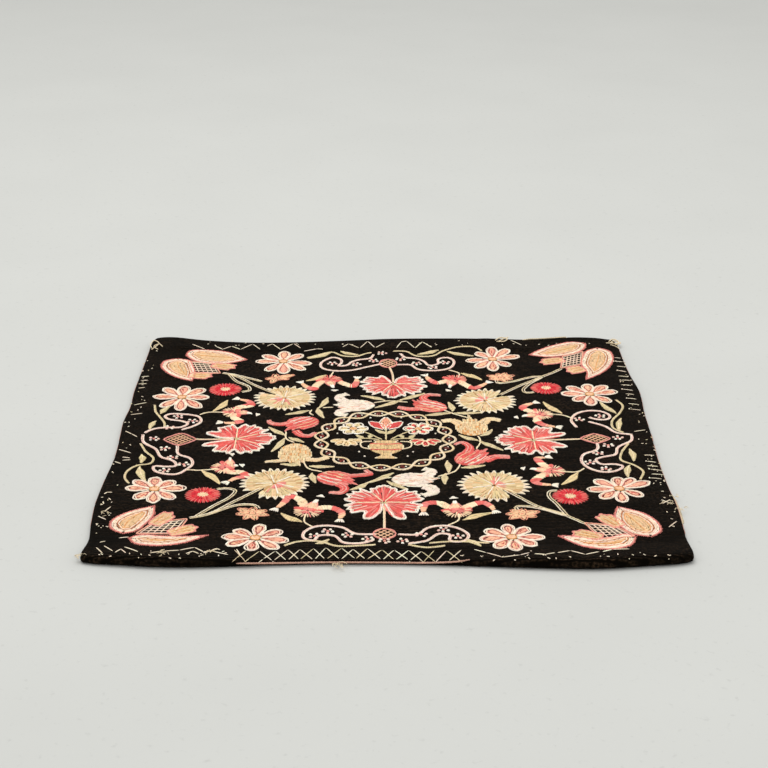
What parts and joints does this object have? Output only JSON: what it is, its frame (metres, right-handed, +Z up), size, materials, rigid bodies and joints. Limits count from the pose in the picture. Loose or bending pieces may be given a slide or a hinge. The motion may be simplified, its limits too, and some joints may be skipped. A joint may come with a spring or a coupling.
{
  "type": "embroidered cushion cover",
  "caption": "Square black wool cushion cover, laid flat and unfilled, with turned-under hems, a linen lining and floral wool embroidery.",
  "frame": {"origin": "on the surface that the cover lies on, below the middle of the cloth", "axes": "+Z up out of the embroidered face, -Y towards the front fold with the cord, +X to the right seen from the front"},
  "size_m": [0.51, 0.5227, 0.0099],
  "materials": {
    "black_wool": "matt fulled wool",
    "linen": "plain unbleached linen weave",
    "rose_cord": "twisted wool cord",
    "embroidery_wool": "two-ply worsted wool in cream, peach, coral red and straw"
  },
  "bodies": {
    "root": {"front_cloth": "black_wool", "lining": "linen", "edge_cord": "rose_cord"}
  },
  "joints": []
}
